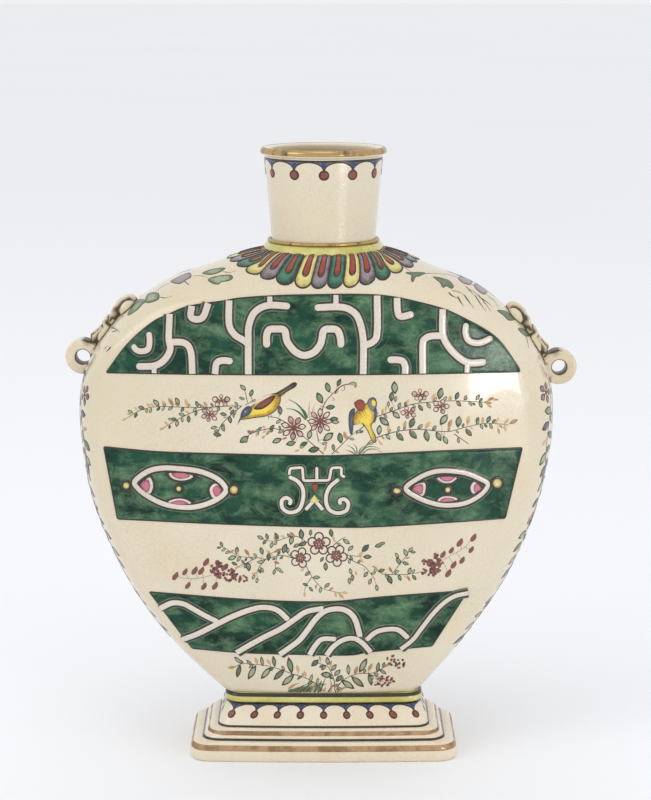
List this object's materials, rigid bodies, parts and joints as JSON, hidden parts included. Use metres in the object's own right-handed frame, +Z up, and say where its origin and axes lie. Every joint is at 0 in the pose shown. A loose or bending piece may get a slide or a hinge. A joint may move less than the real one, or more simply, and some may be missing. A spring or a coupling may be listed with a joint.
{
  "type": "pilgrim flask",
  "caption": "Flattened pilgrim flask with a short neck, stepped rectangular foot, two relief masks with fixed loop handles and enamelled bands on both faces",
  "frame": {"origin": "middle of the resting plane, on the axis of the neck", "axes": "+Z up along the neck axis, +X towards the right handle seen from the front, -Y the way the painted front faces"},
  "size_m": [0.2358, 0.0772, 0.2808],
  "materials": {
    "cream_glaze": "glossy crackled ivory glaze with painted flowers",
    "foot_glaze": "glossy ivory glaze with dark and brownish gilt lines",
    "relief_glaze": "ivory glaze pooled brown in the hollows, rubbed gilding",
    "yellow_glaze": "glossy yellow enamel",
    "green_enamel": "glossy mottled green enamel with white raised lines",
    "gilding": "burnished gilding on glaze"
  },
  "bodies": {
    "root": {"front_shell": "cream_glaze", "back_shell": "cream_glaze", "neck": "cream_glaze", "lip_ring": "gilding", "collar_bead": "gilding", "neck_collar": "yellow_glaze", "waist_band": "yellow_glaze", "foot_frieze": "foot_glaze", "foot_step": "foot_glaze", "foot_plinth": "foot_glaze", "left_mask": "relief_glaze", "right_mask": "relief_glaze", "left_loop": "relief_glaze", "right_loop": "relief_glaze", "front_top_field": "green_enamel", "front_middle_field": "green_enamel", "front_low_field": "green_enamel", "back_top_field": "green_enamel", "back_middle_field": "green_enamel", "back_low_field": "green_enamel"}
  },
  "joints": []
}
